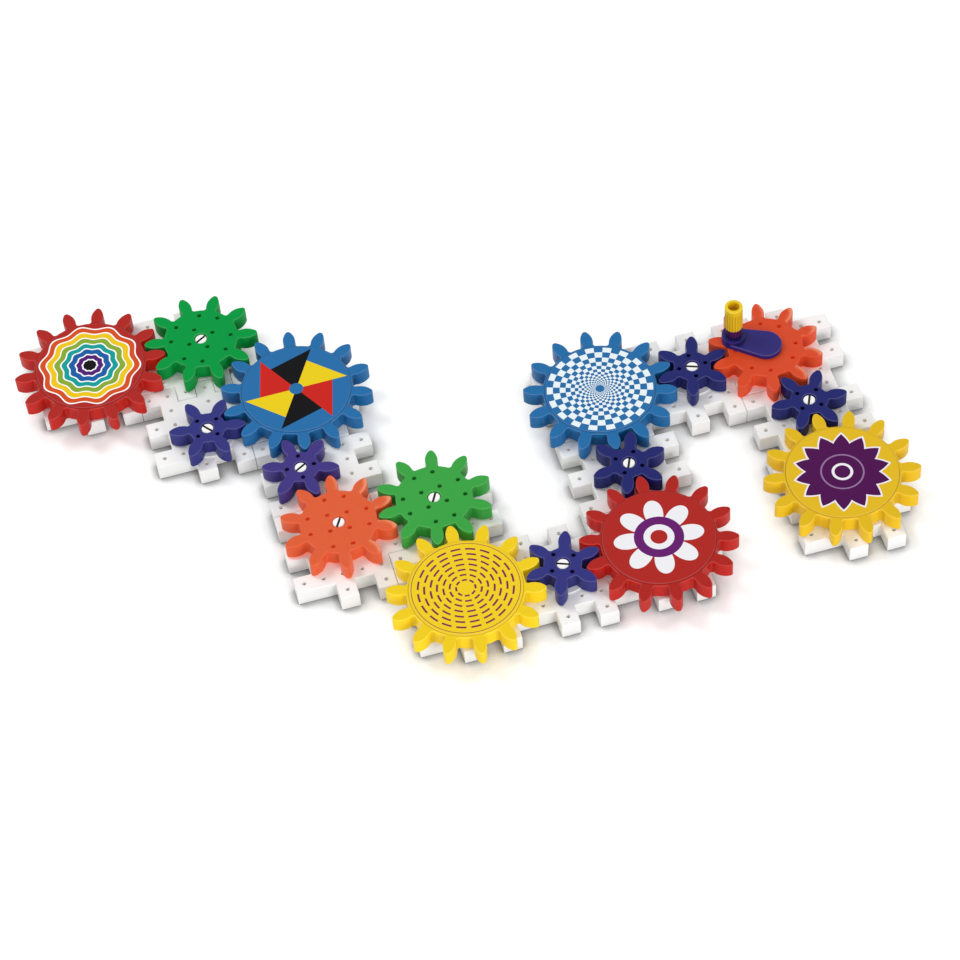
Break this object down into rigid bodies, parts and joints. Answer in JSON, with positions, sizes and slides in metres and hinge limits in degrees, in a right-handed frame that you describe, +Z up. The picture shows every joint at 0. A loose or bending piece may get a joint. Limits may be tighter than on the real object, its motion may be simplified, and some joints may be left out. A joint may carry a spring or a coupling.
{
  "type": "hand-cranked gear train toy",
  "caption": "Hand-cranked gear train toy: large, medium and small toothed wheels turning on hubs plugged into interlocking square-cell base plates.",
  "frame": {"origin": "on the underside of the base plates, at the middle of the whole train's box", "axes": "+X along the plates' rows to the crank end, +Y across them to the far side, +Z up along the gears' axes"},
  "size_m": [0.5146, 0.3353, 0.0558],
  "materials": {
    "plate_white": "glossy moulded plastic",
    "hub_white": "glossy moulded plastic",
    "pin_white": "glossy moulded plastic",
    "gear_red": "glossy moulded plastic",
    "gear_green": "glossy moulded plastic",
    "gear_indigo": "glossy moulded plastic",
    "gear_blue": "glossy moulded plastic",
    "gear_orange": "glossy moulded plastic",
    "gear_yellow": "glossy moulded plastic",
    "disc_red": "glossy plastic face with a printed pattern of plain shapes",
    "disc_blue": "glossy plastic face with a printed pattern of plain shapes",
    "disc_yellow": "glossy plastic face with a printed pattern of plain shapes",
    "arm_indigo": "glossy moulded plastic",
    "handle_yellow": "glossy moulded plastic"
  },
  "bodies": {
    "base": {"base_plate_01": "plate_white", "base_plate_02": "plate_white", "base_plate_03": "plate_white", "base_plate_04": "plate_white", "base_plate_05": "plate_white", "base_plate_06": "plate_white", "base_plate_07": "plate_white", "base_plate_08": "plate_white", "base_plate_09": "plate_white", "base_plate_10": "plate_white", "base_plate_11": "plate_white", "base_plate_12": "plate_white", "base_plate_13": "plate_white", "base_plate_14": "plate_white", "base_plate_15": "plate_white", "base_plate_16": "plate_white", "gear_hub_01": "hub_white", "gear_hub_02": "hub_white", "gear_hub_03": "hub_white", "gear_hub_04": "hub_white", "gear_hub_05": "hub_white", "gear_hub_06": "hub_white", "gear_hub_07": "hub_white", "gear_hub_08": "hub_white", "gear_hub_09": "hub_white", "gear_hub_10": "hub_white", "gear_hub_11": "hub_white", "gear_hub_12": "hub_white", "gear_hub_13": "hub_white", "gear_hub_14": "hub_white", "gear_hub_15": "hub_white", "gear_hub_16": "hub_white", "axle_pins": "pin_white"},
    "red_large_wheel_01": {"red_large_gear_01": "gear_red", "face_disc_01": "disc_red"},
    "green_medium_wheel_02": {"green_medium_gear_02": "gear_green"},
    "indigo_small_wheel_03": {"indigo_small_gear_03": "gear_indigo"},
    "blue_large_wheel_04": {"blue_large_gear_04": "gear_blue", "face_disc_04": "disc_blue"},
    "indigo_small_wheel_05": {"indigo_small_gear_05": "gear_indigo"},
    "orange_medium_wheel_06": {"orange_medium_gear_06": "gear_orange"},
    "green_medium_wheel_07": {"green_medium_gear_07": "gear_green"},
    "yellow_large_wheel_08": {"yellow_large_gear_08": "gear_yellow", "face_disc_08": "disc_yellow"},
    "indigo_small_wheel_09": {"indigo_small_gear_09": "gear_indigo"},
    "red_large_wheel_10": {"red_large_gear_10": "gear_red", "face_disc_10": "disc_red"},
    "indigo_small_wheel_11": {"indigo_small_gear_11": "gear_indigo"},
    "blue_large_wheel_12": {"blue_large_gear_12": "gear_blue", "face_disc_12": "disc_blue"},
    "indigo_small_wheel_13": {"indigo_small_gear_13": "gear_indigo"},
    "crank": {"orange_crank_gear_14": "gear_orange", "crank_arm": "arm_indigo"},
    "indigo_small_wheel_15": {"indigo_small_gear_15": "gear_indigo"},
    "yellow_large_wheel_16": {"yellow_large_gear_16": "gear_yellow", "face_disc_16": "disc_yellow"},
    "handle": {"crank_handle": "handle_yellow"}
  },
  "joints": [
    {"name": "crank_turn", "type": "hinge", "parent": "base", "child": "crank", "pos_m": [0.198, 0, 0.0127], "axis": [0, 0, 1], "continuous": true},
    {"name": "red_large_gear_01_turn", "type": "hinge", "parent": "base", "child": "red_large_wheel_01", "pos_m": [-0.21, 0.12, 0.0127], "axis": [0, 0, 1], "continuous": true},
    {"name": "green_medium_gear_02_turn", "type": "hinge", "parent": "base", "child": "green_medium_wheel_02", "pos_m": [-0.138, 0.12, 0.0127], "axis": [0, 0, 1], "continuous": true},
    {"name": "indigo_small_gear_03_turn", "type": "hinge", "parent": "base", "child": "indigo_small_wheel_03", "pos_m": [-0.15, 0.048, 0.0127], "axis": [0, 0, 1], "continuous": true},
    {"name": "blue_large_gear_04_turn", "type": "hinge", "parent": "base", "child": "blue_large_wheel_04", "pos_m": [-0.09, 0.06, 0.0127], "axis": [0, 0, 1], "continuous": true},
    {"name": "indigo_small_gear_05_turn", "type": "hinge", "parent": "base", "child": "indigo_small_wheel_05", "pos_m": [-0.102, 0, 0.0127], "axis": [0, 0, 1], "continuous": true},
    {"name": "orange_medium_gear_06_turn", "type": "hinge", "parent": "base", "child": "orange_medium_wheel_06", "pos_m": [-0.09, -0.048, 0.0127], "axis": [0, 0, 1], "continuous": true},
    {"name": "green_medium_gear_07_turn", "type": "hinge", "parent": "base", "child": "green_medium_wheel_07", "pos_m": [-0.03, -0.048, 0.0127], "axis": [0, 0, 1], "continuous": true},
    {"name": "yellow_large_gear_08_turn", "type": "hinge", "parent": "base", "child": "yellow_large_wheel_08", "pos_m": [-0.03, -0.12, 0.0127], "axis": [0, 0, 1], "continuous": true},
    {"name": "indigo_small_gear_09_turn", "type": "hinge", "parent": "base", "child": "indigo_small_wheel_09", "pos_m": [0.03, -0.12, 0.0127], "axis": [0, 0, 1], "continuous": true},
    {"name": "red_large_gear_10_turn", "type": "hinge", "parent": "base", "child": "red_large_wheel_10", "pos_m": [0.09, -0.12, 0.0127], "axis": [0, 0, 1], "continuous": true},
    {"name": "indigo_small_gear_11_turn", "type": "hinge", "parent": "base", "child": "indigo_small_wheel_11", "pos_m": [0.09, -0.06, 0.0127], "axis": [0, 0, 1], "continuous": true},
    {"name": "blue_large_gear_12_turn", "type": "hinge", "parent": "base", "child": "blue_large_wheel_12", "pos_m": [0.09, 0, 0.0127], "axis": [0, 0, 1], "continuous": true},
    {"name": "indigo_small_gear_13_turn", "type": "hinge", "parent": "base", "child": "indigo_small_wheel_13", "pos_m": [0.15, 0, 0.0127], "axis": [0, 0, 1], "continuous": true},
    {"name": "indigo_small_gear_15_turn", "type": "hinge", "parent": "base", "child": "indigo_small_wheel_15", "pos_m": [0.21, -0.048, 0.0127], "axis": [0, 0, 1], "continuous": true},
    {"name": "yellow_large_gear_16_turn", "type": "hinge", "parent": "base", "child": "yellow_large_wheel_16", "pos_m": [0.21, -0.108, 0.0127], "axis": [0, 0, 1], "continuous": true},
    {"name": "handle_spin", "type": "hinge", "parent": "crank", "child": "handle", "pos_m": [0.18076, 0.01128, 0.0374], "axis": [0, 0, 1], "continuous": true}
  ],
  "couplings": [
    {"joint": "red_large_gear_01_turn", "follows": "crank_turn", "ratio": 0.71429},
    {"joint": "green_medium_gear_02_turn", "follows": "crank_turn", "ratio": -1},
    {"joint": "indigo_small_gear_03_turn", "follows": "crank_turn", "ratio": -1.6667},
    {"joint": "blue_large_gear_04_turn", "follows": "crank_turn", "ratio": 0.71429},
    {"joint": "indigo_small_gear_05_turn", "follows": "crank_turn", "ratio": -1.6667},
    {"joint": "orange_medium_gear_06_turn", "follows": "crank_turn", "ratio": 1},
    {"joint": "green_medium_gear_07_turn", "follows": "crank_turn", "ratio": -1},
    {"joint": "yellow_large_gear_08_turn", "follows": "crank_turn", "ratio": 0.71429},
    {"joint": "indigo_small_gear_09_turn", "follows": "crank_turn", "ratio": -1.6667},
    {"joint": "red_large_gear_10_turn", "follows": "crank_turn", "ratio": 0.71429},
    {"joint": "indigo_small_gear_11_turn", "follows": "crank_turn", "ratio": -1.6667},
    {"joint": "blue_large_gear_12_turn", "follows": "crank_turn", "ratio": 0.71429},
    {"joint": "indigo_small_gear_13_turn", "follows": "crank_turn", "ratio": -1.6667},
    {"joint": "indigo_small_gear_15_turn", "follows": "crank_turn", "ratio": -1.6667},
    {"joint": "yellow_large_gear_16_turn", "follows": "crank_turn", "ratio": 0.71429}
  ]
}
